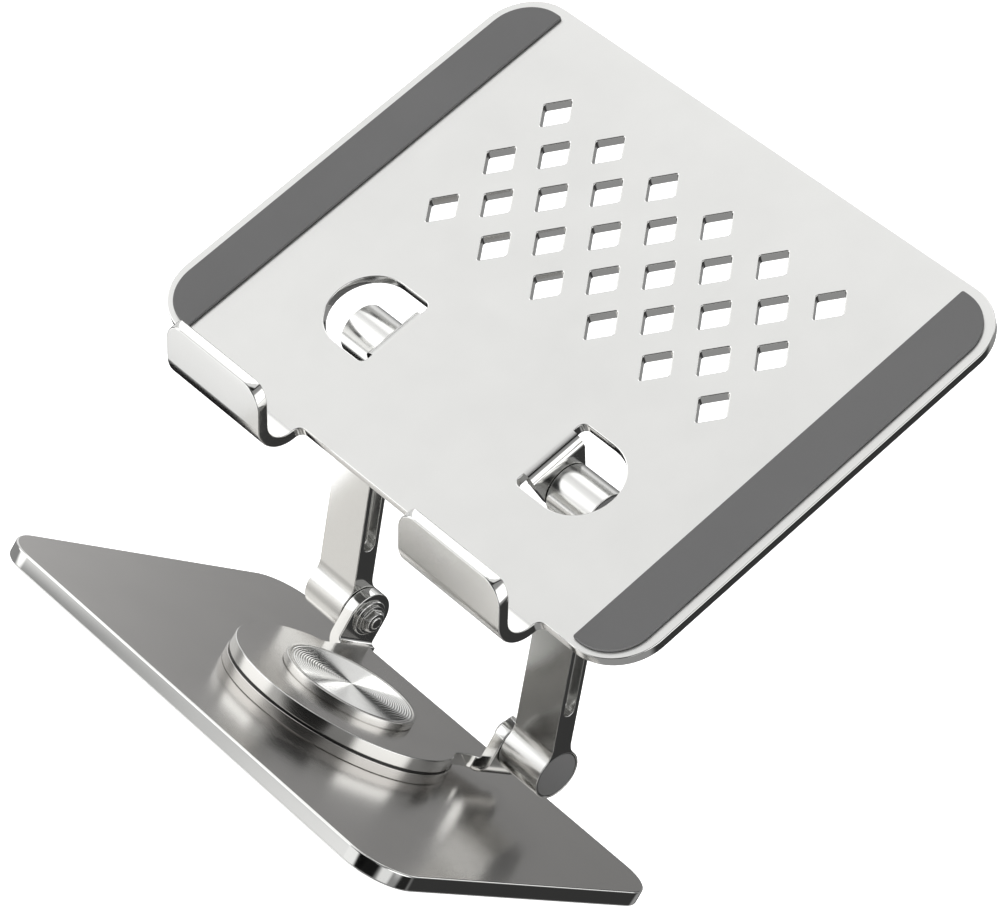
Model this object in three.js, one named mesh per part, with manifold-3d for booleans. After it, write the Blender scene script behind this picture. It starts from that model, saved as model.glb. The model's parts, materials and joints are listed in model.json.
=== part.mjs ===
// A swivelling, folding laptop stand, in millimetres, with +Z up.
// The origin is the middle of the face that rests on the desk. The long side of the base runs
// along X, and the open front of the stand, with the hooks of the tray, faces -Y.
import * as THREE from "three";
import { mergeVertices } from "three/addons/utils/BufferGeometryUtils.js";
import Module from "manifold-3d";

const wasm = await Module();
wasm.setup();

// Driving dimensions.
const GAP = 0.3; // clearance between pieces that turn or lie on each other
const FOOT = { proud: 0.8, thickness: 1.6, margin: 5 };
const BASE = { width: 213, depth: 163, thickness: 6, corner: 18 };
const SWIVEL_Y = 2; // the swivel stands just behind the middle of the base
const COLLAR = { radius: 45.3, height: 4, bore: 11 };
const SLIP = { radius: 44.2, inner: 31, thickness: 0.7 };
const DISC = { radius: 44.8, thickness: 5 };
const NECK = { halfWidth: 36.8, rimY: 22, top: 35, backMid: 46.5, backSide: 54.7 };
const EAR = { inner: 39.4, outer: 44.4, bend: 1.5, radius: 10 };
const MEDALLION = { radius: 26, top: 25, insert: 24.3, height: 3.1, insertDepth: 0.7 };
const LOWER_HINGE = { y: 47.4, z: 27.2 };
const ARM = { length: 114, inner: 44.7, outer: 64.6, thickness: 8.9, barrel: 10, fillet: 8 };
const SLOT = { end: 27.2, width: 4.9, depth: 4 };
const LEAN = THREE.MathUtils.degToRad(29.25); // of the arms, forward from upright
const TILT = THREE.MathUtils.degToRad(55.4); // of the tray, up from level
const TRAY = { width: 250, depth: 189.3, thickness: 4.2, corner: 21, front: -48.3, top: 17 };
const PAD = { outer: 121.1, inner: 101.8, front: 2.4, back: 4.2, corner: 16.6, thickness: 1.15, tip: 1 };
const VENT = { pitch: 28, halfWidth: 6.7, halfDepth: 8.2, corner: 0.9, backRow: 104.4 };
const VENT_ROWS = [6, 5, 6, 5, 6];
const WINDOW = { inner: 40, round: 55.2, radius: 16.2, corner: 2.6 };
const LUG = { inner: 40.2, outer: 44.4, bend: 1, halfDepth: 11.5, radius: 8.6 };
const HOOK = { inner: 36.8, outer: 87.8, reach: 3, bend: 8.2, lean: 17, height: 27.2 };
const HOOK_ROUND = { top: 8.5, root: 3 };
const BOLT = { radius: 2.5, hole: 2.8, head: 4.25, headLength: 4.5, socket: 2.3, socketDepth: 2.5 };
const BARREL_BORE = { counterbore: 5.4, depth: 9, capRecess: 9.3, capDepth: 1.8 };
const CAP = { radius: 9, thickness: 1.5, plug: 5, plugLength: 1.3 };
const WASHER = { radius: 7.25, thickness: 1 };
const NUT = { flange: 5.8, flangeThickness: 0.9, acrossFlats: 8.4, thickness: 3.2 };
const SPRING = { outer: 5, inner: 2.8, thickness: 0.6, rise: 0.6 };
const SWIVEL_BOLT = { radius: 4, hole: 4.4, head: 9, headThickness: 1.8, socket: 2.6, socketDepth: 1.2 };
const SWIVEL_NUT = { acrossFlats: 13, thickness: 2.6, pocket: 8.2, pocketDepth: 4 };
const SCREW = { radius: 2, hole: 2.3, head: 3.9, headDepth: 1.9, length: 8, circle: 24 };

// Levels of the flat pieces, from the desk up.
const baseBottom = FOOT.proud;
const baseTop = baseBottom + BASE.thickness;
const collarTop = baseTop + COLLAR.height;
const discBottom = collarTop + SLIP.thickness;
const discTop = discBottom + DISC.thickness;

// Finishes.
const steel = { color: 0x8f8e8b, roughness: 0.32, metalness: 1 };
const silver = { color: 0xdededc, roughness: 0.35, metalness: 0.9 };
const chrome = { color: 0xc9c9c9, roughness: 0.1, metalness: 1 };
const rubber = { color: 0x6f6f6f, roughness: 0.85, metalness: 0 };
const blackPlastic = { color: 0x1c1c1c, roughness: 0.5, metalness: 0 };
const greyPlastic = { color: 0x5f5f5f, roughness: 0.55, metalness: 0 };

// Axes for turning a drawing in the XY plane, extruded along Z, into another plane.
const ALONG_X = new THREE.Matrix4().makeBasis(
  new THREE.Vector3(0, 1, 0),
  new THREE.Vector3(0, 0, 1),
  new THREE.Vector3(1, 0, 0),
);
const ALONG_Y = new THREE.Matrix4().makeBasis(
  new THREE.Vector3(1, 0, 0),
  new THREE.Vector3(0, 0, -1),
  new THREE.Vector3(0, 1, 0),
);

function solid(geometry) {
  const bare = geometry.index ? geometry.toNonIndexed() : geometry;
  bare.deleteAttribute("normal");
  bare.deleteAttribute("uv");
  const merged = mergeVertices(bare, 1e-4);
  return new wasm.Manifold(
    new wasm.Mesh({
      numProp: 3,
      vertProperties: merged.attributes.position.array,
      triVerts: new Uint32Array(merged.index.array),
    }),
  );
}

function geometryOf(made) {
  const mesh = made.getMesh();
  const geometry = new THREE.BufferGeometry();
  geometry.setAttribute("position", new THREE.BufferAttribute(mesh.vertProperties, 3));
  geometry.setIndex(new THREE.BufferAttribute(mesh.triVerts, 1));
  const faceted = geometry.toNonIndexed();
  faceted.computeVertexNormals();
  return faceted;
}

// A drawing extruded from one level to another; arcs get this many pieces for their whole angle.
function extruded(shape, from, to, arcs = 12) {
  const options = { depth: to - from, bevelEnabled: false, curveSegments: arcs };
  return new THREE.ExtrudeGeometry(shape, options).translate(0, 0, from);
}

const plate = (shape, from, to, arcs) => solid(extruded(shape, from, to, arcs));
const sideways = (shape, from, to, arcs) => solid(extruded(shape, from, to, arcs).applyMatrix4(ALONG_X));
const lengthways = (shape, from, to, arcs) => solid(extruded(shape, from, to, arcs).applyMatrix4(ALONG_Y));

// A solid of revolution about Z, from a closed list of [radius, height] going up on the outside.
function turned(profile, segments = 48) {
  const points = [...profile, profile[0]].map(([r, z]) => new THREE.Vector2(r, z));
  return solid(new THREE.LatheGeometry(points, segments).rotateX(Math.PI / 2));
}

// The same, about X: heights run along +X.
const turnedAlongX = (profile, segments) => turned(profile, segments).rotate([0, 90, 0]);

const rod = (radius, from, to, segments) =>
  turned([[0, from], [radius, from], [radius, to], [0, to]], segments);
const rodAlongX = (radius, from, to, segments) => rod(radius, from, to, segments).rotate([0, 90, 0]);

function hexagon(acrossFlats) {
  const shape = new THREE.Shape();
  const radius = acrossFlats / Math.sqrt(3);
  for (let side = 0; side < 6; side++) {
    const angle = (side * Math.PI) / 3;
    const move = side ? "lineTo" : "moveTo";
    shape[move](radius * Math.cos(angle), radius * Math.sin(angle));
  }
  shape.closePath();
  return shape;
}

function roundedRectangle(left, right, low, high, corner) {
  const shape = new THREE.Shape();
  shape.absarc(right - corner, low + corner, corner, -Math.PI / 2, 0);
  shape.absarc(right - corner, high - corner, corner, 0, Math.PI / 2);
  shape.absarc(left + corner, high - corner, corner, Math.PI / 2, Math.PI);
  shape.absarc(left + corner, low + corner, corner, Math.PI, 1.5 * Math.PI);
  shape.closePath();
  return shape;
}

function rectangle(left, right, low, high) {
  const shape = new THREE.Shape();
  shape.moveTo(left, low);
  shape.lineTo(right, low);
  shape.lineTo(right, high);
  shape.lineTo(left, high);
  shape.closePath();
  return shape;
}

const mirrored = (made, side) => (side < 0 ? made.mirror([1, 0, 0]) : made);

// Base: a thick plate, with a pocket under it for the foot sheet and the swivel nut.
function basePlate() {
  const { width, depth, corner } = BASE;
  const outline = roundedRectangle(-width / 2, width / 2, -depth / 2, depth / 2, corner);
  let made = plate(outline, baseBottom, baseTop, 10);
  const inset = FOOT.margin;
  const pocketTop = FOOT.thickness;
  const pocket = roundedRectangle(
    inset - width / 2,
    width / 2 - inset,
    inset - depth / 2,
    depth / 2 - inset,
    corner - inset,
  );
  made = made.subtract(plate(pocket, baseBottom - 1, pocketTop));
  const nutPocket = rod(SWIVEL_NUT.pocket, 0, pocketTop + SWIVEL_NUT.pocketDepth, 28);
  const boltHole = rod(SWIVEL_BOLT.hole, 0, baseTop + 1, 20);
  made = made.subtract(nutPocket.add(boltHole).translate([0, SWIVEL_Y, 0]));
  for (const [x, y] of screwPlaces()) made = made.subtract(screwHole().translate([x, y, 0]));
  return made;
}

function footSheet() {
  const inset = FOOT.margin + GAP;
  const outline = roundedRectangle(
    inset - BASE.width / 2,
    BASE.width / 2 - inset,
    inset - BASE.depth / 2,
    BASE.depth / 2 - inset,
    BASE.corner - inset,
  );
  return plate(outline, 0, FOOT.thickness);
}

function screwPlaces() {
  return [45, 135, 225, 315].map((degrees) => {
    const angle = THREE.MathUtils.degToRad(degrees);
    return [SCREW.circle * Math.cos(angle), SWIVEL_Y + SCREW.circle * Math.sin(angle)];
  });
}

function screwHole() {
  const bottom = FOOT.thickness;
  const { hole, head, headDepth } = SCREW;
  const cone = [
    [0, bottom - 1],
    [head + GAP, bottom - 1],
    [head + GAP, bottom],
    [hole, bottom + headDepth],
    [0, bottom + headDepth],
  ];
  return turned(cone, 16).add(rod(hole, bottom, baseTop + 1, 16));
}

function collarScrew() {
  const { radius, head, headDepth, length } = SCREW;
  const bottom = FOOT.thickness + GAP / 2;
  const profile = [
    [0, bottom],
    [head, bottom],
    [radius, bottom + headDepth],
    [radius, bottom + length],
    [0, bottom + length],
  ];
  return turned(profile, 16).subtract(plate(hexagon(2.5), bottom - 1, bottom + 1.4));
}

// Swivel: the collar, the slide ring on it, and the bolt that holds the turntable down.
function swivelCollar() {
  const { radius, bore } = COLLAR;
  const edge = 0.5;
  const ring = [
    [bore, baseTop],
    [radius, baseTop],
    [radius, collarTop - edge],
    [radius - edge, collarTop],
    [bore, collarTop],
  ];
  let made = turned(ring, 64);
  for (const [x, y] of screwPlaces()) {
    made = made.subtract(rod(SCREW.hole, 0, baseTop + 3.4, 16).translate([x, y - SWIVEL_Y, 0]));
  }
  return made;
}

function slipRing() {
  const { radius, inner } = SLIP;
  const ring = [
    [inner, collarTop],
    [radius, collarTop],
    [radius, discBottom],
    [inner, discBottom],
  ];
  return turned(ring, 48);
}

function swivelBolt() {
  const { radius, head, headThickness, socket, socketDepth } = SWIVEL_BOLT;
  const top = discTop + headThickness;
  const profile = [
    [0, FOOT.thickness + 0.6],
    [radius, FOOT.thickness + 0.6],
    [radius, discTop],
    [head, discTop],
    [head - 0.6, top],
    [0, top],
  ];
  return turned(profile, 24).subtract(plate(hexagon(2 * socket), top - socketDepth, top + 1));
}

// Under the base plate, from its pocket's roof down: washer, disc spring, nut.
const pocketRoof = FOOT.thickness + SWIVEL_NUT.pocketDepth;
const swivelWasherThickness = 0.5;

function swivelWasher() {
  const { hole } = SWIVEL_BOLT;
  const outer = SWIVEL_NUT.pocket - GAP;
  const low = pocketRoof - swivelWasherThickness;
  return turned([[hole, low], [outer, low], [outer, pocketRoof], [hole, pocketRoof]], 24);
}

function swivelSpring() {
  const { hole } = SWIVEL_BOLT;
  const top = pocketRoof - swivelWasherThickness;
  return turned([[hole, top - 0.8], [hole, top - 0.4], [7.6, top], [7.6, top - 0.4]].reverse(), 24);
}

function swivelNut() {
  const top = pocketRoof - swivelWasherThickness - 0.8;
  const body = plate(hexagon(SWIVEL_NUT.acrossFlats), top - SWIVEL_NUT.thickness, top);
  return body.subtract(rod(SWIVEL_BOLT.radius + 0.02, 0, baseTop, 24));
}

// Turntable: a round plate, narrower behind, with an ear folded up on each side.
function turntableOutline() {
  const { radius } = DISC;
  const { halfWidth, rimY, top, backMid, backSide } = NECK;
  const rimAngle = Math.asin((rimY - SWIVEL_Y) / radius);
  const shape = new THREE.Shape();
  shape.absarc(0, SWIVEL_Y, radius, Math.PI - rimAngle, 2 * Math.PI + rimAngle);
  shape.quadraticCurveTo(halfWidth + 0.4, rimY + 2.4, halfWidth, rimY + 5);
  shape.lineTo(halfWidth, top);
  shape.lineTo(EAR.outer - EAR.bend - DISC.thickness, LOWER_HINGE.y - EAR.radius);
  shape.lineTo(EAR.outer - EAR.bend - DISC.thickness, backSide);
  const sag = backSide - backMid;
  const half = EAR.outer - EAR.bend - DISC.thickness;
  const scoop = (half * half + sag * sag) / (2 * sag);
  const reach = Math.asin(half / scoop);
  shape.absarc(0, backMid + scoop, scoop, -Math.PI / 2 + reach, -Math.PI / 2 - reach, true);
  shape.lineTo(-half, LOWER_HINGE.y - EAR.radius);
  shape.lineTo(-halfWidth, top);
  shape.lineTo(-halfWidth, rimY + 5);
  const rimX = -radius * Math.cos(rimAngle);
  shape.quadraticCurveTo(-halfWidth - 0.4, rimY + 2.4, rimX, rimY);
  shape.closePath();
  return shape;
}

// The bend between a flat plate and a flange: a quarter ring with a short tail on either end.
function bendProfile(centreX, centreZ, inner, thickness, tail) {
  const outer = inner + thickness;
  const shape = new THREE.Shape();
  shape.moveTo(centreX - tail, centreZ - outer);
  shape.lineTo(centreX, centreZ - outer);
  shape.absarc(centreX, centreZ, outer, -Math.PI / 2, 0);
  shape.lineTo(centreX + outer, centreZ + tail);
  shape.lineTo(centreX + inner, centreZ + tail);
  shape.lineTo(centreX + inner, centreZ);
  shape.absarc(centreX, centreZ, inner, 0, -Math.PI / 2, true);
  shape.lineTo(centreX - tail, centreZ - inner);
  shape.closePath();
  return shape;
}

// The drawing of a bend comes out with its flange hanging down, so an ear's is mirrored to stand up.
function turntableEar() {
  const { inner, outer, bend, radius } = EAR;
  const centreX = inner - bend;
  const centreZ = discTop + bend;
  const front = LOWER_HINGE.y - radius;
  const back = LOWER_HINGE.y + radius;
  const profile = bendProfile(centreX, centreZ, bend, DISC.thickness, 1);
  const fold = lengthways(profile, front, back, 6).mirror([0, 0, 1]);
  const side = new THREE.Shape();
  side.moveTo(front, centreZ);
  side.lineTo(back, centreZ);
  side.absarc(LOWER_HINGE.y, LOWER_HINGE.z, radius, 0, Math.PI);
  side.closePath();
  return fold.add(sideways(side, inner, outer, 14));
}

function turntable() {
  let made = plate(turntableOutline(), discBottom, discTop, 36);
  for (const side of [-1, 1]) made = made.add(mirrored(turntableEar(), side));
  const hinge = rodAlongX(BOLT.hole, -EAR.outer - 1, EAR.outer + 1, 16);
  made = made.subtract(hinge.translate([0, LOWER_HINGE.y, LOWER_HINGE.z]));
  return made.subtract(rod(SWIVEL_BOLT.hole, 0, discTop + 1, 20).translate([0, SWIVEL_Y, 0]));
}

// Medallion: a shallow cup over the bolt head, with a thin turned disc let into its top.
function medallionCap() {
  const { radius, top, insert, height, insertDepth } = MEDALLION;
  const wall = 2.4;
  const high = discTop + height;
  const floor = high - insertDepth;
  const profile = [
    [0, floor - wall + 2],
    [SWIVEL_BOLT.head + 1, floor - wall + 2],
    [SWIVEL_BOLT.head + 1, discTop],
    [radius, discTop],
    [radius, discTop + height / 2],
    [(radius + top) / 2 + 0.2, high - 0.3],
    [top, high],
    [insert + GAP / 3, high],
    [insert + GAP / 3, floor],
    [0, floor],
  ];
  return turned(profile, 48);
}

function medallionInsert() {
  const { insert, height, insertDepth } = MEDALLION;
  const low = discTop + height - insertDepth;
  const high = low + insertDepth - 0.15;
  const profile = [
    [0, low],
    [insert, low],
    [insert, high - 0.1],
    [insert - 0.25, high],
    [0, high],
  ];
  return turned(profile, 48);
}

// Arm: a bar with a barrel at each end, drawn from the side. The lower hinge is at [0, 0].
function armProfile() {
  const { length, thickness, barrel, fillet } = ARM;
  const half = thickness / 2;
  const reach = barrel + fillet;
  const rise = Math.sqrt(reach * reach - (half + fillet) ** 2);
  const angle = Math.atan2(rise, half + fillet);
  const turn = Math.PI;
  const shape = new THREE.Shape();
  shape.absarc(0, 0, barrel, turn - angle, 2 * turn + angle);
  shape.absarc(half + fillet, rise, fillet, turn + angle, turn, true);
  shape.absarc(half + fillet, length - rise, fillet, turn, turn - angle, true);
  shape.absarc(0, length, barrel, -angle, turn + angle);
  shape.absarc(-half - fillet, length - rise, fillet, angle, 0, true);
  shape.absarc(-half - fillet, rise, fillet, 0, -angle, true);
  shape.closePath();
  return shape;
}

function sideSlot(from, to) {
  const { end, width } = SLOT;
  const half = width / 2;
  const shape = new THREE.Shape();
  shape.absarc(0, end + half, half, Math.PI, 2 * Math.PI);
  shape.absarc(0, ARM.length - end - half, half, 0, Math.PI);
  shape.closePath();
  return sideways(shape, from, to, 6);
}

function arm(side) {
  const { inner, outer, length } = ARM;
  let made = sideways(armProfile(), inner, outer, 14);
  made = made.subtract(sideSlot(inner - 1, inner + SLOT.depth));
  made = made.subtract(sideSlot(outer - SLOT.depth, outer + 1));
  const { counterbore, depth, capRecess, capDepth } = BARREL_BORE;
  const bore = rodAlongX(BOLT.hole, inner - 1, outer, 16)
    .add(rodAlongX(counterbore, outer - depth, outer, 20))
    .add(rodAlongX(capRecess, outer - capDepth, outer + 1, 32));
  for (const z of [0, length]) made = made.subtract(bore.translate([0, 0, z]));
  return mirrored(made, side);
}

// Hinge hardware, on an axis along X, for the hinge on the +X side.
function hingeBolt(faceOfLug) {
  const { radius, head, headLength, socket, socketDepth } = BOLT;
  const seat = ARM.outer - BARREL_BORE.depth + SPRING.thickness + SPRING.rise;
  const end = faceOfLug - WASHER.thickness - NUT.thickness - 0.4;
  const profile = [
    [0, end],
    [radius - 0.4, end],
    [radius, end + 0.4],
    [radius, seat],
    [head, seat],
    [head, seat + headLength],
    [0, seat + headLength],
  ];
  const key = sideways(hexagon(2 * socket), seat + headLength - socketDepth, seat + headLength + 1);
  return turnedAlongX(profile, 16).subtract(key);
}

function hingeSpring() {
  const { outer, inner, thickness, rise } = SPRING;
  const seat = ARM.outer - BARREL_BORE.depth;
  const profile = [
    [inner, seat + rise],
    [outer, seat],
    [outer, seat + thickness],
    [inner, seat + rise + thickness],
  ];
  return turnedAlongX(profile, 20);
}

function hingeWasher(faceOfLug) {
  const { radius, thickness } = WASHER;
  const low = faceOfLug - thickness;
  const profile = [
    [BOLT.hole, low],
    [radius - 0.35, low],
    [radius, low + 0.35],
    [radius, faceOfLug],
    [BOLT.hole, faceOfLug],
  ];
  return turnedAlongX(profile, 28);
}

function hingeNut(faceOfLug) {
  const { flange, flangeThickness, acrossFlats, thickness } = NUT;
  const high = faceOfLug - WASHER.thickness;
  const low = high - thickness;
  const corner = acrossFlats / Math.sqrt(3);
  const dome = turnedAlongX(
    [
      [0, low],
      [corner - 1.1, low],
      [corner + 0.05, high - flangeThickness - 1],
      [flange, high - flangeThickness],
      [flange, high],
      [0, high],
    ],
    24,
  );
  const flats = sideways(hexagon(acrossFlats), low - 1, high - flangeThickness + 0.05);
  const washerFace = rodAlongX(flange, high - flangeThickness, high + 1, 24);
  return dome.intersect(flats.add(washerFace)).subtract(rodAlongX(BOLT.radius + 0.02, low - 1, high + 1, 16));
}

function barrelCap() {
  const { radius, thickness, plug, plugLength } = CAP;
  const face = ARM.outer;
  const profile = [
    [0, face - thickness - plugLength],
    [plug, face - thickness - plugLength],
    [plug, face - thickness],
    [radius, face - thickness],
    [radius, face - 0.3],
    [radius - 0.3, face],
    [0, face],
  ];
  return turnedAlongX(profile, 28);
}

// Tray, in its own frame: the upper hinge is at [0, 0, 0], +Y runs up the tray to its back edge.
const trayBack = TRAY.front + TRAY.depth;
const trayUnder = TRAY.top - TRAY.thickness;

function ventOutline(x, y) {
  const { halfWidth, halfDepth, corner } = VENT;
  const side = Math.hypot(halfWidth, halfDepth);
  const cutX = (corner * halfWidth) / side;
  const cutY = (corner * halfDepth) / side;
  const tips = [
    [1, 0],
    [0, 1],
    [-1, 0],
    [0, -1],
  ];
  const shape = new THREE.Shape();
  tips.forEach(([a, b], i) => {
    const [before, after] = [tips[(i + 3) % 4], tips[(i + 1) % 4]];
    const tip = [x + a * halfWidth, y + b * halfDepth];
    const from = [tip[0] + (before[0] - a) * cutX, tip[1] + (before[1] - b) * cutY];
    const to = [tip[0] + (after[0] - a) * cutX, tip[1] + (after[1] - b) * cutY];
    shape[i ? "lineTo" : "moveTo"](...from);
    shape.quadraticCurveTo(...tip, ...to);
  });
  shape.closePath();
  return shape;
}

function ventOutlines() {
  return VENT_ROWS.flatMap((count, row) =>
    Array.from({ length: count }, (_, column) => {
      const x = (column - (count - 1) / 2) * VENT.pitch;
      return ventOutline(x, VENT.backRow - (row * VENT.pitch) / 2);
    }),
  );
}

function windowOutline() {
  const { inner, round, radius, corner } = WINDOW;
  const shape = new THREE.Shape();
  shape.absarc(inner + corner, -radius + corner, corner, Math.PI, 1.5 * Math.PI);
  shape.absarc(round, 0, radius, -Math.PI / 2, Math.PI / 2);
  shape.absarc(inner + corner, radius - corner, corner, Math.PI / 2, Math.PI);
  shape.closePath();
  return shape;
}

function lug() {
  const { inner, outer, bend, halfDepth, radius } = LUG;
  const centreX = inner - bend;
  const centreZ = trayUnder - bend;
  const thickness = outer - inner;
  const profile = bendProfile(centreX, -centreZ, bend, thickness, 0.8);
  const fold = lengthways(profile, -halfDepth, halfDepth, 5);
  const away = Math.atan2(centreZ, halfDepth);
  const touch = away - Math.acos(radius / Math.hypot(centreZ, halfDepth));
  const side = new THREE.Shape();
  side.moveTo(halfDepth, centreZ);
  side.lineTo(-halfDepth, centreZ);
  side.absarc(0, 0, radius, Math.PI - touch, 2 * Math.PI + touch);
  side.closePath();
  return fold.add(sideways(side, inner, outer, 12));
}

function hookProfile() {
  const { reach, bend, lean, height } = HOOK;
  const tilt = THREE.MathUtils.degToRad(lean);
  const outer = bend + TRAY.thickness;
  const { front, top } = TRAY;
  const centre = [front - reach, top + bend];
  const wrap = Math.PI - tilt;
  const onArc = (radius, angle) => [
    centre[0] + radius * Math.cos(angle),
    centre[1] + radius * Math.sin(angle),
  ];
  const [innerY, innerZ] = onArc(bend, wrap);
  const [outerY, outerZ] = onArc(outer, wrap);
  const lipTop = top + height;
  const lip = (lipTop - innerZ) / Math.cos(tilt);
  const [alongY, alongZ] = [Math.sin(tilt) * lip, Math.cos(tilt) * lip];
  const shape = new THREE.Shape();
  shape.moveTo(front + 1, trayUnder);
  shape.lineTo(front + 1, top);
  shape.absarc(...centre, bend, 1.5 * Math.PI, wrap, true);
  shape.lineTo(innerY + alongY, innerZ + alongZ);
  shape.lineTo(outerY + alongY, outerZ + alongZ);
  shape.absarc(...centre, outer, wrap, 1.5 * Math.PI);
  shape.closePath();
  return shape;
}

// The hook seen from above: straight sides, with a hollow round where it leaves the front edge.
function hookPlan() {
  const { inner, outer } = HOOK;
  const { root } = HOOK_ROUND;
  const { front } = TRAY;
  const shape = new THREE.Shape();
  shape.moveTo(inner - root, front + 1);
  shape.lineTo(inner - root, front);
  shape.absarc(inner - root, front - root, root, Math.PI / 2, 0, true);
  shape.lineTo(inner, front - 20);
  shape.lineTo(outer, front - 20);
  shape.absarc(outer + root, front - root, root, Math.PI, Math.PI / 2, true);
  shape.lineTo(outer + root, front + 1);
  shape.closePath();
  return shape;
}

function hook() {
  const { inner, outer, height } = HOOK;
  const { root, top } = HOOK_ROUND;
  const bent = sideways(hookProfile(), inner - root - 1, outer + root + 1, 14);
  const plan = plate(hookPlan(), trayUnder - 10, TRAY.top + height + 10, 5);
  const high = TRAY.top + height + 1.2;
  const fromFront = new THREE.Shape();
  fromFront.moveTo(inner - root - 1, -trayUnder + 10);
  fromFront.lineTo(inner - root - 1, -TRAY.top - 4);
  fromFront.lineTo(inner, -TRAY.top - 4);
  fromFront.absarc(inner + top, -high + top, top, Math.PI, 1.5 * Math.PI);
  fromFront.absarc(outer - top, -high + top, top, -Math.PI / 2, 0);
  fromFront.lineTo(outer, -TRAY.top - 4);
  fromFront.lineTo(outer + root + 1, -TRAY.top - 4);
  fromFront.lineTo(outer + root + 1, -trayUnder + 10);
  fromFront.closePath();
  const face = lengthways(fromFront, TRAY.front - 25, TRAY.front + 2, 6);
  return bent.intersect(plan).intersect(face);
}

function tray() {
  const { width, corner, front } = TRAY;
  const outline = roundedRectangle(-width / 2, width / 2, front, trayBack, corner);
  let made = plate(outline, trayUnder, TRAY.top);
  for (const vent of ventOutlines()) {
    made = made.subtract(plate(vent, trayUnder - 1, TRAY.top + 1, 2));
  }
  const opening = plate(windowOutline(), trayUnder - 1, TRAY.top + 1, 10).add(
    plate(
      rectangle(LUG.inner - LUG.bend, WINDOW.inner + 1, -LUG.halfDepth, LUG.halfDepth),
      trayUnder - 1,
      TRAY.top + 1,
    ),
  );
  for (const side of [-1, 1]) {
    made = made.subtract(mirrored(opening, side));
    made = made.add(mirrored(lug().add(hook()), side));
  }
  return made.subtract(rodAlongX(BOLT.hole, -LUG.outer - 1, LUG.outer + 1, 16));
}

// A pad: a strip that follows the side of the tray and its corners, cut off straight on the inside.
function trayPad(side) {
  const { outer, inner, front, back, corner, thickness } = PAD;
  const low = TRAY.front + front;
  const high = trayBack - back;
  const shape = new THREE.Shape();
  shape.moveTo(inner, low + PAD.tip);
  shape.quadraticCurveTo(inner, low, inner + PAD.tip, low);
  shape.absarc(outer - corner, low + corner, corner, -Math.PI / 2, 0);
  shape.absarc(outer - corner, high - corner, corner, 0, Math.PI / 2);
  shape.lineTo(inner + PAD.tip, high);
  shape.quadraticCurveTo(inner, high, inner, high - PAD.tip);
  shape.closePath();
  return mirrored(plate(shape, TRAY.top + 0.1, TRAY.top + 0.1 + thickness, 12), side);
}

// The assembly, nested as it moves: base, turntable, arms, tray.
function piece(parent, name, made, finish) {
  const mesh = new THREE.Mesh(geometryOf(made), new THREE.MeshStandardMaterial(finish));
  mesh.name = name;
  parent.add(mesh);
  return mesh;
}

const stand = new THREE.Group();

piece(stand, "base_plate", basePlate(), steel);
piece(stand, "base_foot", footSheet(), rubber);
piece(stand, "swivel_collar", swivelCollar(), steel).position.y = SWIVEL_Y;
piece(stand, "slip_ring", slipRing(), blackPlastic).position.y = SWIVEL_Y;
piece(stand, "swivel_bolt", swivelBolt(), chrome).position.y = SWIVEL_Y;
piece(stand, "swivel_washer", swivelWasher(), chrome).position.y = SWIVEL_Y;
piece(stand, "swivel_spring", swivelSpring(), chrome).position.y = SWIVEL_Y;
piece(stand, "swivel_nut", swivelNut(), chrome).position.y = SWIVEL_Y;
screwPlaces().forEach(([x, y], i) => {
  piece(stand, `collar_screw_${i + 1}`, collarScrew(), chrome).position.set(x, y, 0);
});

const turning = new THREE.Group();
stand.add(turning);
piece(turning, "turntable", turntable(), steel);
piece(turning, "medallion_cap", medallionCap(), silver).position.y = SWIVEL_Y;
piece(turning, "medallion_insert", medallionInsert(), chrome).position.y = SWIVEL_Y;

const arms = new THREE.Group();
arms.position.set(0, LOWER_HINGE.y, LOWER_HINGE.z);
arms.rotation.x = LEAN;
turning.add(arms);

const upper = new THREE.Group();
upper.position.set(0, 0, ARM.length);
upper.rotation.x = TILT - LEAN;
arms.add(upper);

const lowerPins = new THREE.Group();
lowerPins.position.copy(arms.position);
turning.add(lowerPins);

for (const [sideName, side] of [
  ["left", -1],
  ["right", 1],
]) {
  piece(arms, `arm_${sideName}`, arm(side), silver);
  piece(arms, `lower_cap_${sideName}`, mirrored(barrelCap(), side), greyPlastic);
  piece(arms, `upper_cap_${sideName}`, mirrored(barrelCap(), side), greyPlastic).position.z = ARM.length;
  for (const [levelName, group, face] of [
    ["lower", lowerPins, EAR.inner],
    ["upper", upper, LUG.inner],
  ]) {
    const name = (what) => `${levelName}_${what}_${sideName}`;
    piece(group, name("bolt"), mirrored(hingeBolt(face), side), chrome);
    piece(group, name("spring"), mirrored(hingeSpring(), side), chrome);
    piece(group, name("washer"), mirrored(hingeWasher(face - 0.02), side), chrome);
    piece(group, name("nut"), mirrored(hingeNut(face - 0.04), side), chrome);
  }
  piece(upper, `pad_${sideName}`, trayPad(side), rubber);
}
piece(upper, "tray", tray(), silver);

export default stand;
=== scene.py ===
# %% [markdown]
# # A swivelling, folding laptop stand
#
# The stand has a heavy base plate, a turntable with two folded ears, two slotted arms and a bent,
# vented tray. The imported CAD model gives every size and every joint. This lesson gives each piece
# rounded edges, so that it catches the light as machined metal does, and a finish that is built
# from nodes. Lengths in the text are in millimetres, and Blender's own unit is the metre.

# %% Load the frame
import json
import math

import bmesh
import bpy
from mathutils import Matrix, Vector


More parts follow.
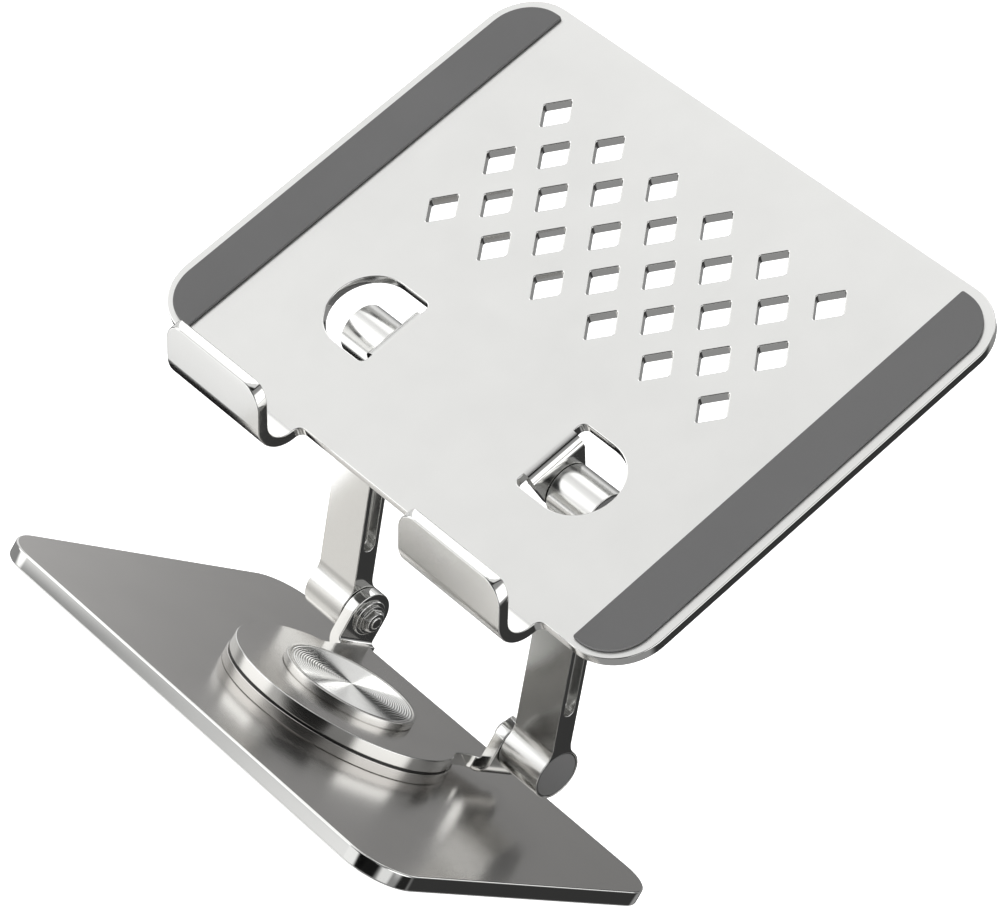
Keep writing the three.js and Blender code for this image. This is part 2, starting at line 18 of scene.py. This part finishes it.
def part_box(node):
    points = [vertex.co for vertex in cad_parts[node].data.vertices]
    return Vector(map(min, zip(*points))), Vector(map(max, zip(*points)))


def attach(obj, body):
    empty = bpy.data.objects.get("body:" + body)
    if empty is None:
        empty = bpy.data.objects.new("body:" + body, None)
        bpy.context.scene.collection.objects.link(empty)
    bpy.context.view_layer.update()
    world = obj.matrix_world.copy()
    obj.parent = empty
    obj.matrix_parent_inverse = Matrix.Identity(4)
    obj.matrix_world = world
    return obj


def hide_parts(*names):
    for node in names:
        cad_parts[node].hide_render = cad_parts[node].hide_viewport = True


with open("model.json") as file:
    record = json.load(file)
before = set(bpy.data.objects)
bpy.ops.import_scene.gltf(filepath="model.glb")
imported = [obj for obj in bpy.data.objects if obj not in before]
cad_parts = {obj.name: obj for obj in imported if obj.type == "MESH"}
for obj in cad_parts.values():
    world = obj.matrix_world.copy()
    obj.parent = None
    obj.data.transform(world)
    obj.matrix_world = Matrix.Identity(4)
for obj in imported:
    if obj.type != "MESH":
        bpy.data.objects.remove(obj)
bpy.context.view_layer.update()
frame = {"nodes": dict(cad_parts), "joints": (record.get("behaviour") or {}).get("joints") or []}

# %% [markdown]
# ## Helpers for shape
#
# A real edge is never perfectly sharp: it is broken with a file, tumbled or cut with a chamfer
# tool, and the little band that is left shines. So each mesh here is finished the same way. Its
# sharp edges are bevelled, its faces are smooth shaded, and a Weighted Normal modifier lets the
# broad flat faces keep one even shade right up to the bevel.

# %% Units, and the finishing steps
MM = 0.001
CREASE = 50  # degrees: a fold sharper than this stays a sharp line in the shading


def sharp_edges(bm, angle=30):
    limit = math.radians(angle)
    return [e for e in bm.edges if len(e.link_faces) == 2 and e.calc_face_angle(0) > limit]


def round_edges(bm, width, segments=2, angle=30, material=-1, edges=None):
    bmesh.ops.bevel(
        bm,
        geom=edges or sharp_edges(bm, angle),
        offset=width * MM,
        offset_type="OFFSET",
        affect="EDGES",
        segments=segments,
        profile=0.5,
        material=material,
        clamp_overlap=False,
    )


def finished_piece(name, bm, finishes, body, stands_for):
    bmesh.ops.remove_doubles(bm, verts=bm.verts, dist=1e-7)
    for face in bm.faces:
        face.smooth = True
    for edge in sharp_edges(bm, CREASE):
        edge.smooth = False
    mesh = bpy.data.meshes.new(name)
    bm.to_mesh(mesh)
    bm.free()
    for finish in finishes:
        mesh.materials.append(finish)
    made = bpy.data.objects.new(name, mesh)
    bpy.context.scene.collection.objects.link(made)
    even = made.modifiers.new("even flat faces", "WEIGHTED_NORMAL")
    even.keep_sharp = True
    even.weight = 100
    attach(made, body)
    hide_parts(stands_for)
    print(name, len(mesh.polygons), "faces")


# %% [markdown]
# Round pieces such as the collar, the medallion and the plugs are turned on a lathe. In Blender the
# same thing is a Spin: half of the section is drawn as a line of points, each a radius and a height,
# and swept once round the axis. A section that stays off the axis is closed, which leaves a bore.

# %% Turn a section round an axis
def turned(section, centre=(0, 0, 0), axis="Z", steps=96):
    bm = bmesh.new()
    points = [bm.verts.new((r * MM, 0, h * MM)) for r, h in section]
    lines = [bm.edges.new(pair) for pair in zip(points, points[1:])]
    if section[0][0] > 0:
        lines.append(bm.edges.new((points[-1], points[0])))
    bmesh.ops.spin(
        bm,
        geom=points + lines,
        cent=(0, 0, 0),
        axis=(0, 0, 1),
        dvec=(0, 0, 0),
        angle=math.tau,
        steps=steps,
        use_merge=True,
        use_normal_flip=False,
        use_duplicate=False,
    )
    bmesh.ops.remove_doubles(bm, verts=bm.verts, dist=1e-7)
    bmesh.ops.recalc_face_normals(bm, faces=bm.faces)
    if axis == "X":
        quarter_turn = Matrix.Rotation(math.pi / 2, 3, "Y")
        bmesh.ops.rotate(bm, verts=bm.verts, cent=(0, 0, 0), matrix=quarter_turn)
    bmesh.ops.translate(bm, verts=bm.verts, vec=centre)
    return bm


# %% [markdown]
# Plates start as one flat square. Bevelling its four corner points rounds the outline, and
# extruding the face gives the thickness.

# %% Cut a plate with round corners
def rounded_plate(width, depth, low, high, corner, steps=20):
    bm = bmesh.new()
    bmesh.ops.create_grid(bm, x_segments=1, y_segments=1, size=0.5)
    bmesh.ops.scale(bm, verts=bm.verts, vec=(width * MM, depth * MM, 1))
    bmesh.ops.bevel(
        bm,
        geom=bm.verts[:],
        offset=corner * MM,
        offset_type="OFFSET",
        affect="VERTICES",
        segments=steps,
        profile=0.5,
        material=-1,
        clamp_overlap=False,
    )
    bmesh.ops.translate(bm, verts=bm.verts, vec=(0, 0, low * MM))
    top = bmesh.ops.extrude_face_region(bm, geom=bm.faces[:])["geom"]
    rising = [v for v in top if isinstance(v, bmesh.types.BMVert)]
    bmesh.ops.translate(bm, verts=rising, vec=(0, 0, (high - low) * MM))
    bmesh.ops.recalc_face_normals(bm, faces=bm.faces)
    return bm


# %% [markdown]
# The bent pieces, the arms, the pads and the fasteners already have their true shape in the CAD
# model, as loose triangles. A copy of one is welded and its flat faces are made whole again, and
# then it can be bevelled like the rest.

# %% Copy a CAD shape as a clean mesh
WELD = 0.002  # corners nearer than this are one corner
FLAT = math.radians(0.5)  # triangles that lean less than this are one face


def clean_copy(node):
    bm = bmesh.new()
    bm.from_mesh(frame["nodes"][node].data)
    bmesh.ops.remove_doubles(bm, verts=bm.verts, dist=WELD * MM)
    bmesh.ops.dissolve_limit(
        bm, angle_limit=FLAT, use_dissolve_boundaries=False, verts=bm.verts, edges=bm.edges
    )
    return bm


# %% [markdown]
# ## Helpers for finish
#
# Colours are written as the sRGB hex values that a paint chart or a colour picker shows, and
# Cycles works in linear light, so one function converts them. A second small function adds a
# node with its settings and its links, and every material below is made with it.

# %% Colour and node helpers
def linear(hex_colour):
    channels = [int(hex_colour[i : i + 2], 16) / 255 for i in (1, 3, 5)]
    return [c / 12.92 if c <= 0.04045 else ((c + 0.055) / 1.055) ** 2.4 for c in channels] + [1]


def add_node(tree, kind, settings=None, **inputs):
    node = tree.nodes.new(kind)
    for key, value in (settings or {}).items():
        setattr(node, key, value)
    for key, value in inputs.items():
        socket = node.inputs[int(key[1:]) if key[1:].isdigit() else key.replace("_", " ")]
        if isinstance(value, bpy.types.NodeSocket):
            tree.links.new(value, socket)
        else:
            socket.default_value = value
    return node


def new_finish(name):
    finish = bpy.data.materials.new(name)
    finish.use_nodes = True
    tree = finish.node_tree
    tree.nodes.clear()
    shader = add_node(tree, "ShaderNodeBsdfPrincipled")
    add_node(tree, "ShaderNodeOutputMaterial", Surface=shader.outputs["BSDF"])
    place = add_node(tree, "ShaderNodeTexCoord").outputs["Object"]
    return finish, tree, shader, place


# %% [markdown]
# ## Metals
#
# All the metal is silver-coloured, and what tells one finish from another is how sharply it
# mirrors the room. Bead blasting leaves tiny dimples that blur the reflection, a satin belt leaves
# fine lines, and polishing or a chamfer cutter leaves a mirror. Each metal therefore varies its
# roughness and its brightness a little with a cloudy noise, as handling and the finisher's strokes
# do, and has a bump at the size of its grit. Real grit is about a tenth of a millimetre and would
# not show, so it is drawn at half a millimetre.

# %% One recipe for all the metals
CLOUD_SIZE = 22  # across one cloud of the finish
METAL_TINT = 0.04  # how much lighter or darker a cloud is
GRIT_SIZE = 0.5


def metal(name, colour, roughness, cloud=0.03, grit_depth=0.02):
    finish, tree, shader, place = new_finish(name)
    shader.inputs["Metallic"].default_value = 1
    clouds = add_node(
        tree, "ShaderNodeTexNoise", Vector=place, Scale=1 / (CLOUD_SIZE * MM), Detail=4
    )
    spread = add_node(
        tree,
        "ShaderNodeMapRange",
        Value=clouds.outputs["Fac"],
        To_Min=roughness - cloud,
        To_Max=roughness + cloud,
    )
    tree.links.new(spread.outputs["Result"], shader.inputs["Roughness"])
    tint = add_node(
        tree,
        "ShaderNodeMapRange",
        Value=clouds.outputs["Fac"],
        To_Min=1 - METAL_TINT,
        To_Max=1 + METAL_TINT,
    )
    shade = add_node(
        tree,
        "ShaderNodeMix",
        {"data_type": "RGBA", "blend_type": "MULTIPLY"},
        _0=1.0,
        _6=linear(colour),
        _7=tint.outputs["Result"],
    )
    tree.links.new(shade.outputs[2], shader.inputs["Base Color"])
    grit = add_node(
        tree, "ShaderNodeTexNoise", Vector=place, Scale=1 / (GRIT_SIZE * MM), Detail=2
    )
    bump = add_node(
        tree,
        "ShaderNodeBump",
        Height=grit.outputs["Fac"],
        Distance=grit_depth * MM,
        Strength=0.25,
    )
    tree.links.new(bump.outputs["Normal"], shader.inputs["Normal"])
    return finish


# Carbon steel plate under a satin nickel finish: greyer than aluminium, with a soft mirror.
satin_steel = metal("satin nickel on steel", "#cfcdca", 0.21, grit_depth=0.003)
# The same steel where it was polished: the sides of the plates and the folded ears.
polished_steel = metal("polished steel", "#e4e4e2", 0.08, cloud=0.02, grit_depth=0.002)
# Bead-blasted and anodised aluminium: an even, pale silver that mirrors almost nothing sharply.
blasted_aluminium = metal("blasted silver anodised aluminium", "#e8e8e6", 0.32, grit_depth=0.01)
# The same aluminium rubbed with a fine belt, on the arms and the hooks.
satin_aluminium = metal("satin silver aluminium", "#e8e8e6", 0.2, grit_depth=0.004)
# Aluminium where a chamfer cutter or a polishing belt left it bright.
bright_aluminium = metal("bright cut aluminium", "#ececea", 0.09, cloud=0.02, grit_depth=0.002)
# Steel fasteners with bright zinc on them: small, hard highlights, a little cloudy.
plated_steel = metal("bright zinc plated steel", "#dededc", 0.1, grit_depth=0.003)
print("clouds", CLOUD_SIZE, "mm across, grit", GRIT_SIZE, "mm")

# %% [markdown]
# ## Rubber and plastic
#
# The pads and the foot are pressed from silicone sheet and are dead matt. The plugs in the hinges
# are moulded with a fine spark-eroded texture. Neither is a metal, so their colour is their own.
# The real grain is about 0.2 mm, and is drawn three to five times coarser so that it shows.

# %% One recipe for moulded surfaces
STAIN_SIZE = 30  # across one paler or darker stain
MOULDED_TINT = 0.06
ROUGHNESS_SPREAD = 0.05


def moulded(name, colour, roughness, grain_mm, grain_depth, ior):
    finish, tree, shader, place = new_finish(name)
    shader.inputs["IOR"].default_value = ior
    grain = add_node(tree, "ShaderNodeTexNoise", Vector=place, Scale=1 / (grain_mm * MM), Detail=3)
    stains = add_node(
        tree, "ShaderNodeTexNoise", Vector=place, Scale=1 / (STAIN_SIZE * MM), Detail=3
    )
    tint = add_node(
        tree,
        "ShaderNodeMapRange",
        Value=stains.outputs["Fac"],
        To_Min=1 - MOULDED_TINT,
        To_Max=1 + MOULDED_TINT,
    )
    shade = add_node(
        tree,
        "ShaderNodeMix",
        {"data_type": "RGBA", "blend_type": "MULTIPLY"},
        _0=1.0,
        _6=linear(colour),
        _7=tint.outputs["Result"],
    )
    tree.links.new(shade.outputs[2], shader.inputs["Base Color"])
    spread = add_node(
        tree,
        "ShaderNodeMapRange",
        Value=grain.outputs["Fac"],
        To_Min=roughness - ROUGHNESS_SPREAD,
        To_Max=roughness + ROUGHNESS_SPREAD,
    )
    tree.links.new(spread.outputs["Result"], shader.inputs["Roughness"])
    bump = add_node(
        tree, "ShaderNodeBump", Height=grain.outputs["Fac"], Distance=grain_depth * MM, Strength=0.4
    )
    tree.links.new(bump.outputs["Normal"], shader.inputs["Normal"])
    return finish


# Pressed silicone: it scatters light evenly, with no highlight at all.
pad_silicone = moulded("grey silicone pad", "#737373", 0.85, 0.7, 0.03, ior=1.41)
# The same, darker and with a deeper grain to grip the desk.
foot_silicone = moulded("dark silicone foot sheet", "#3a3a3a", 0.8, 0.9, 0.05, ior=1.41)
# Nylon from a textured mould: a broad, faint sheen.
plug_plastic = moulded("dark grey moulded nylon", "#686868", 0.5, 0.8, 0.02, ior=1.53)
# Acetal, the slippery plastic of plain bearings: nearly black, with a slight gloss.
bearing_plastic = moulded("black acetal slide ring", "#141414", 0.35, 0.6, 0.01, ior=1.48)
print("stains", STAIN_SIZE, "mm across")

# %% [markdown]
# ## The base
#
# The base is a plain 6 mm plate with round corners. Its top is satin and its side is polished, and
# a small chamfer runs round both edges. Underneath, a shallow pocket holds the foot sheet.

# %% Base plate
SATIN, BRIGHT = 0, 1  # a piece's first and second finish
FACING = 0.9  # a face whose normal has this much of a direction faces that way

plate_start, plate_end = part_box("base_plate")
plate_width, plate_depth, _ = [(b - a) / MM for a, b in zip(plate_start, plate_end)]
plate_low, plate_high = plate_start[2] / MM, plate_end[2] / MM
foot_start, foot_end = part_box("base_foot")
foot_margin = (foot_start[0] - plate_start[0]) / MM
corner_radius = 18
edge_break = 0.7
pocket_gap = 0.2

base = rounded_plate(plate_width, plate_depth, plate_low, plate_high, corner_radius)
for face in base.faces:
    face.material_index = SATIN if abs(face.normal.z) > FACING else BRIGHT
round_edges(base, edge_break, 3, material=BRIGHT)
underside = min(base.faces, key=lambda face: face.calc_center_median().z)
pocket_margin = foot_margin - edge_break - pocket_gap
bmesh.ops.inset_region(base, faces=[underside], thickness=pocket_margin * MM, depth=0)
recess = bmesh.ops.extrude_face_region(base, geom=[underside])["geom"]
bmesh.ops.delete(base, geom=[underside], context="FACES_ONLY")
bmesh.ops.translate(
    base,
    verts=[v for v in recess if isinstance(v, bmesh.types.BMVert)],
    vec=(0, 0, foot_end[2] - plate_start[2]),
)
print("pocket", round(pocket_margin + edge_break, 1), "mm in from the plate's side")
finished_piece(
    "base_plate_finish", base, [satin_steel, polished_steel], "base", "base_plate"
)

# %% Foot sheet
foot = rounded_plate(
    (foot_end[0] - foot_start[0]) / MM,
    (foot_end[1] - foot_start[1]) / MM,
    0,
    foot_end[2] / MM,
    corner_radius - foot_margin,
)
round_edges(foot, 0.25, 2)
finished_piece("foot_sheet", foot, [foot_silicone], "base", "base_foot")

# %% [markdown]
# ## The swivel
#
# A turned collar is screwed to the base, and a black ring of bearing plastic lies on it, just
# narrower than the turntable above, so that it shows as a dark line. Both are plain rings.

# %% Collar and slide ring
swivel = Vector(frame["joints"][0]["pos_m"])
swivel_line = (swivel.x, swivel.y, 0)
collar_bore = 12
ring_bore = 31


def turned_size(node):
    start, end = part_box(node)
    return start[2] / MM, end[2] / MM, (end[0] - start[0]) / 2 / MM


def plain_ring(bore, low, high, radius):
    return turned([(bore, low), (radius, low), (radius, high), (bore, high)], swivel_line)


collar = plain_ring(collar_bore, *turned_size("swivel_collar"))
round_edges(collar, 0.35, 2)
finished_piece("collar", collar, [satin_steel], "base", "swivel_collar")

ring = plain_ring(ring_bore, *turned_size("slip_ring"))
finished_piece("slide_ring", ring, [bearing_plastic], "base", "slip_ring")

# %% [markdown]
# ## The turntable
#
# One plate makes the round table and the two ears, which are folded up at the back. Its top is
# satin. The cut rim, the folds and the ears are polished.

# %% Turntable
table = clean_copy("turntable")
table_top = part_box("medallion_cap")[0][2]
above_table = table_top + 0.2 * MM
for face in table.faces:
    on_plate = face.calc_center_median().z < above_table
    face.material_index = SATIN if on_plate and abs(face.normal.z) > FACING else BRIGHT
round_edges(table, 0.4, 2, angle=40, material=BRIGHT)
finished_piece(
    "turntable_finish", table, [satin_steel, polished_steel], "swivel", "turntable"
)

# %% [markdown]
# ## The medallion
#
# A cup covers the swivel bolt, and a thin disc is let into its top. The disc is faced on a lathe
# with a diamond tool that leaves fine rings, and rings throw two bright fans of light, as on a
# compact disc. The rings are modelled: the section is a row of small waves. The real rings are too
# fine to see one by one, so these are a millimetre apart.

# %% Cup
# Aluminium turned and left satin: a soft silver, a little darker than the tray.
cup_finish = metal("satin turned aluminium", "#dcdbd8", 0.24, grit_depth=0.003)
cup_low, cup_high, cup_radius = turned_size("medallion_cap")
disc_low, disc_high, disc_radius = turned_size("medallion_insert")
hollow_radius, hollow_top = 20, cup_low + 1
cup_foot = cup_low + 0.02
groove_radius, groove_top = cup_radius - 0.4, cup_low + 0.3
chamfer = 0.3
pocket_radius = disc_radius + 0.1
pocket_chamfer = 0.25
cup = turned(
    [
        (0, hollow_top),
        (hollow_radius, hollow_top),
        (hollow_radius, cup_foot),
        (groove_radius, cup_foot),
        (groove_radius, groove_top),
        (cup_radius, groove_top + 0.05),
        (cup_radius, cup_high - chamfer),
        (cup_radius - chamfer, cup_high),
        (pocket_radius + pocket_chamfer, cup_high),
        (pocket_radius, cup_high - pocket_chamfer),
        (pocket_radius, disc_low),
        (0, disc_low),
    ],
    swivel_line,
    steps=128,
)
finished_piece("medallion_cup", cup, [cup_finish], "swivel", "medallion_cap")

# %% Turned disc
# Aluminium cut with a diamond: a mirror with no grit, so that each ring throws a sharp glint.
turned_aluminium = metal("diamond turned aluminium", "#ececea", 0.12, cloud=0.02, grit_depth=0)
ring_pitch = 0.95
ring_depth = 0.18
points_per_ring = 8
plain_edge = 0.3
disc_chamfer = 0.1
rings = int((disc_radius - plain_edge) / ring_pitch)
section = [
    (0, disc_low),
    (disc_radius, disc_low),
    (disc_radius, disc_high - disc_chamfer),
    (disc_radius - disc_chamfer, disc_high),
]
for step in range(rings * points_per_ring, -1, -1):
    dip = ring_depth * (1 - math.cos(math.tau * step / points_per_ring)) / 2
    section.append((ring_pitch * step / points_per_ring, disc_high - dip))
disc = turned(section, swivel_line)
print("turned disc has", rings, "rings,", ring_pitch, "mm apart")
finished_piece(
    "turned_disc", disc, [turned_aluminium], "swivel", "medallion_insert"
)

# %% [markdown]
# ## The arms
#
# The arms are bars with a barrel at each end and a round-ended slot in each side, all machined
# from one extrusion. Their sides are milled bright, and a narrow bright chamfer runs round every
# edge. It is narrow because the rim round each plug is only 0.7 mm wide.

# %% Arms
for side in ("left", "right"):
    arm = clean_copy(f"arm_{side}")
    for face in arm.faces:
        face.material_index = BRIGHT if abs(face.normal.x) > FACING else SATIN
    round_edges(arm, 0.28, 2, angle=40, material=BRIGHT)
    finished_piece(
        f"arm_{side}_finish",
        arm,
        [satin_aluminium, bright_aluminium],
        "arms",
        f"arm_{side}",
    )

# %% [markdown]
# ## The hinges
#
# Each barrel is closed with a moulded plug. On the inner side of each ear and lug, a chamfered
# washer and a flanged nut hold the end of the hinge bolt.

# %% Plugs
plug_stem = 5
plug_flange = 1.5
plug_chamfer = 0.35
for end in ("lower", "upper"):
    for side in ("left", "right"):
        node = f"{end}_cap_{side}"
        box_start, box_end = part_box(node)
        inner, outer = sorted((abs(box_start[0]) / MM, abs(box_end[0]) / MM))
        radius = (box_end[2] - box_start[2]) / 2 / MM
        section = [
            (0, inner),
            (plug_stem, inner),
            (plug_stem, outer - plug_flange),
            (radius, outer - plug_flange),
            (radius, outer - plug_chamfer),
            (radius - plug_chamfer, outer),
            (0, outer),
        ]
        plug = turned(section, (0, 0, 0), "X", steps=64)
        if side == "left":
            bmesh.ops.scale(plug, verts=plug.verts, vec=(-1, 1, 1))
            bmesh.ops.recalc_face_normals(plug, faces=plug.faces)
        hinge = (0, (box_start[1] + box_end[1]) / 2, (box_start[2] + box_end[2]) / 2)
        bmesh.ops.translate(plug, verts=plug.verts, vec=hinge)
        finished_piece(f"{end}_plug_{side}", plug, [plug_plastic], "arms", node)

# %% Bolts, washers and nuts
fastener_edges = {"bolt": 0.15, "washer": 0.12, "nut": 0.18}
for end, body in (("lower", "swivel"), ("upper", "tray")):
    for side in ("left", "right"):
        for part, width in fastener_edges.items():
            node = f"{end}_{part}_{side}"
            fastener = clean_copy(node)
            round_edges(fastener, width, 2, angle=40)
            finished_piece(f"{node}_finish", fastener, [plated_steel], body, node)

# %% [markdown]
# ## The tray
#
# The tray is one blank, cut, pressed and bent: vents, two windows with a lug folded down in each,
# and two hooks at the front. The broad faces are blasted and anodised. The cut edges, the vents'
# walls and the folds are bright, the hooks are rubbed satin, and a chamfer of 0.4 mm runs round
# every edge but those beside the lugs' folds, where the bend leaves no room for one.

# %% The tray's own directions
tray_hinge = Vector(frame["joints"][2]["pos_m"])
tilt = math.radians(55.4)
up_tray = Vector((0, math.cos(tilt), math.sin(tilt)))
out_of_tray = Vector((0, -math.sin(tilt), math.cos(tilt)))
tray_top = 17  # its top face, out from the hinge
tray_front = -48.3  # its front edge, down the tray from the hinge
hook_lean = math.radians(17)
lip_up = math.sin(hook_lean) * up_tray + math.cos(hook_lean) * out_of_tray
print("tray hinge", [round(value / MM, 1) for value in tray_hinge])


def on_tray(point):
    """How far a point is across the tray, up it and out of it, from the hinge's middle."""
    offset = point - tray_hinge
    return offset.x / MM, offset.dot(up_tray) / MM, offset.dot(out_of_tray) / MM


# %% Tray
HOOK = 2  # the tray's third finish
lip_height = tray_top + 10  # above this, a face that looks along the lip is its cut top edge
sideways = 0.3  # a hook's face with less than this across the tray is one of its broad faces
fold_half_width = 12.5
fold_inner, fold_outer = 38, 45.5

tray = clean_copy("tray")
for face in tray.faces:
    across, up, out = on_tray(face.calc_center_median())
    on_hook = up < tray_front - 0.1
    if on_hook:
        lip_edge = face.normal.dot(lip_up) > 0.95 and out > lip_height
        broad = abs(face.normal.x) < sideways and not lip_edge
    else:
        broad = abs(face.normal.dot(out_of_tray)) > FACING
    face.material_index = BRIGHT if not broad else HOOK if on_hook else SATIN


def beside_fold(edge):
    across, up, out = on_tray((edge.verts[0].co + edge.verts[1].co) / 2)
    return abs(up) < fold_half_width and fold_inner < abs(across) < fold_outer


outline = [edge for edge in sharp_edges(tray, 40) if not beside_fold(edge)]
round_edges(tray, 0.42, 2, material=BRIGHT, edges=outline)
finished_piece(
    "tray_finish",
    tray,
    [blasted_aluminium, bright_aluminium, satin_aluminium],
    "tray",
    "tray",
)

# %% Pads
for side in ("left", "right"):
    pad = clean_copy(f"pad_{side}")
    round_edges(pad, 0.25, 2, angle=40)
    finished_piece(f"pad_{side}_finish", pad, [pad_silicone], "tray", f"pad_{side}")

# %% [markdown]
# The rest of the hardware is sealed inside the swivel and the barrels. The CAD shapes are right as
# they are, so they only get their finish.

# %% Finish for the hidden hardware
hidden_starts = ("swivel_bolt", "swivel_washer", "swivel_spring", "swivel_nut", "collar_screw")
hidden_count = 0
for name, node in frame["nodes"].items():
    if name.startswith(hidden_starts) or "_spring_" in name:
        node.data.materials.clear()
        node.data.materials.append(plated_steel)
        hidden_count += 1
print(hidden_count, "hidden fasteners keep their CAD shape")

# %% [markdown]
# ## Floor, room and light
#
# Polished metal shows nothing but the room, so the room matters more than any lamp. A pale floor
# and a pale backdrop would leave metal flat and white. A studio adds dark screens for contrast,
# and the World here does the same: it is a soft grey dome with large pale and dark patches, each
# centred on a direction. The dome lights the stand and shows in its metal, but behind the stand
# the camera sees plain white. The floor glows, so that it is as white, and metal doesn't mirror it.

# %% Floor
FLOOR_HALF = 30  # metres
floor_mesh = bpy.data.meshes.new("floor")
sheet = bmesh.new()
bmesh.ops.create_grid(sheet, x_segments=1, y_segments=1, size=FLOOR_HALF)
sheet.to_mesh(floor_mesh)
sheet.free()
floor = bpy.data.objects.new("floor", floor_mesh)
bpy.context.scene.collection.objects.link(floor)
floor_finish, _, floor_shader, _ = new_finish("pale floor")
floor_shader.inputs["Base Color"].default_value = linear("#e7e7e7")
floor_shader.inputs["Roughness"].default_value = 1
floor_shader.inputs["Specular IOR Level"].default_value = 0
floor_shader.inputs["Emission Color"].default_value = linear("#ffffff")
floor_shader.inputs["Emission Strength"].default_value = 1
floor.data.materials.append(floor_finish)
floor.visible_glossy = False
print("floor", 2 * FLOOR_HALF, "m across")

# %% Studio dome
world = bpy.data.worlds.new("studio")
bpy.context.scene.world = world
world.use_nodes = True
dome = world.node_tree
dome.nodes.clear()
looking = add_node(dome, "ShaderNodeTexCoord").outputs["Generated"]

# Each patch: the compass direction and the height of its middle, its radius and the width of its
# soft edge, all in degrees, and its brightness. The compass counts from +X towards +Y, so -90 is
# the front. Later patches cover earlier ones.
patches = [
    (136, 66, 36, 24, 0.9),  # pale ceiling at the back
    (154, 20, 22, 16, 0.9),  # grey wall, back left
    (98, 18, 26, 18, 0.28),  # dark wall, back right
    (108, 31, 12, 8, 0.02),  # black card on it
    (124, -14, 22, 6, 0.04),  # dark floor at the back
    (156, 54, 12, 6, 2.4),  # lamp over the back left
    (75, 38, 10, 5, 1.5),  # small lamp over the back right
    (58, -6, 20, 10, 0.04),  # black screen at the back right
    (2, 14, 28, 10, 1.6),  # soft light on the right
    (24, -24, 14, 8, 0.02),  # black card below it
    (-24, -16, 12, 8, 0.9),  # white card below it
    (5, 66, 9, 5, 0.02),  # black strip above it
    (0, 90, 13, 6, 1.1),  # lamp straight overhead
    (-80, 4, 28, 6, 0.005),  # black screen in front
    (-58, -14, 15, 8, 0.01),  # and its foot
    (-62, 50, 13, 6, 0.02),  # and its top
    (-140, 44, 40, 14, 0.78),  # large soft light over the front left
    (-140, 32, 9, 16, 1.0),  # its bright middle
    (-160, 57, 12, 8, 1.35),  # and its top
    (-144, 6, 25, 8, 1.8),  # strip light, front left
    (-110, -21, 15, 8, 1.05),  # white card in front
    (-128, -38, 9, 6, 0.3),  # shade under the card
    (-166, -56, 22, 8, 1.6),  # pale table below
    (146, -46, 19, 6, 0.01),  # shade below, at the back
    (180, 60, 14, 6, 1.5),  # lamp high on the left
]
glow = 0.3  # the dome itself, a plain grey
for compass, height, radius, edge, brightness in patches:
    flat_part = math.cos(math.radians(height))
    aim = (
        flat_part * math.cos(math.radians(compass)),
        flat_part * math.sin(math.radians(compass)),
        math.sin(math.radians(height)),
    )
    near = add_node(dome, "ShaderNodeVectorMath", {"operation": "DOT_PRODUCT"}, _0=looking, _1=aim)
    inside = add_node(
        dome,
        "ShaderNodeMapRange",
        {"interpolation_type": "SMOOTHSTEP"},
        Value=near.outputs["Value"],
        From_Min=math.cos(math.radians(radius + edge / 2)),
        From_Max=math.cos(math.radians(radius - edge / 2)),
    )
    glow = add_node(
        dome,
        "ShaderNodeMix",
        {"data_type": "FLOAT"},
        _0=inside.outputs["Result"],
        _2=glow,
        _3=brightness,
    ).outputs[0]
room = add_node(dome, "ShaderNodeBackground", Color=glow, Strength=1.0)
backdrop = add_node(dome, "ShaderNodeBackground", Color=linear("#ffffff"), Strength=1.0)
ray = add_node(dome, "ShaderNodeLightPath")
both = add_node(
    dome,
    "ShaderNodeMixShader",
    _0=ray.outputs["Is Camera Ray"],
    _1=room.outputs[0],
    _2=backdrop.outputs[0],
)
add_node(dome, "ShaderNodeOutputWorld", Surface=both.outputs[0])
print(len(patches), "patches on the dome")

# %% [markdown]
# ## Camera
#
# A long lens looks down a little on the stand's front right corner. The camera is rolled by about
# a third of a right angle, so the stand hangs aslant in the frame. A camera that isn't turned
# looks straight down in Blender, with its top towards +Y, so three turns aim it: a roll about its
# own line of sight, a rise from straight down, and a turn about +Z.

# %% Camera
LENS = 143.8
CAMERA_PLACE = (0.77277, -1.11568, 0.4139)
LOOKS_DOWN = math.radians(12.302)
LOOKS_LEFT = math.radians(34.426)
ROLL = math.radians(29.704)
bpy.context.scene.view_settings.view_transform = "Standard"
camera_data = bpy.data.cameras.new("camera")
camera_data.sensor_width = 36
camera_data.lens = LENS
camera_data.clip_end = 100
camera = bpy.data.objects.new("camera", camera_data)
bpy.context.scene.collection.objects.link(camera)
rolled = Matrix.Rotation(ROLL, 4, "Z")
raised = Matrix.Rotation(math.pi / 2 - LOOKS_DOWN, 4, "X")
turned_left = Matrix.Rotation(LOOKS_LEFT, 4, "Z")
camera.matrix_world = Matrix.Translation(CAMERA_PLACE) @ turned_left @ raised @ rolled
bpy.context.scene.camera = camera
print("camera at", [round(value, 3) for value in camera.matrix_world.translation])
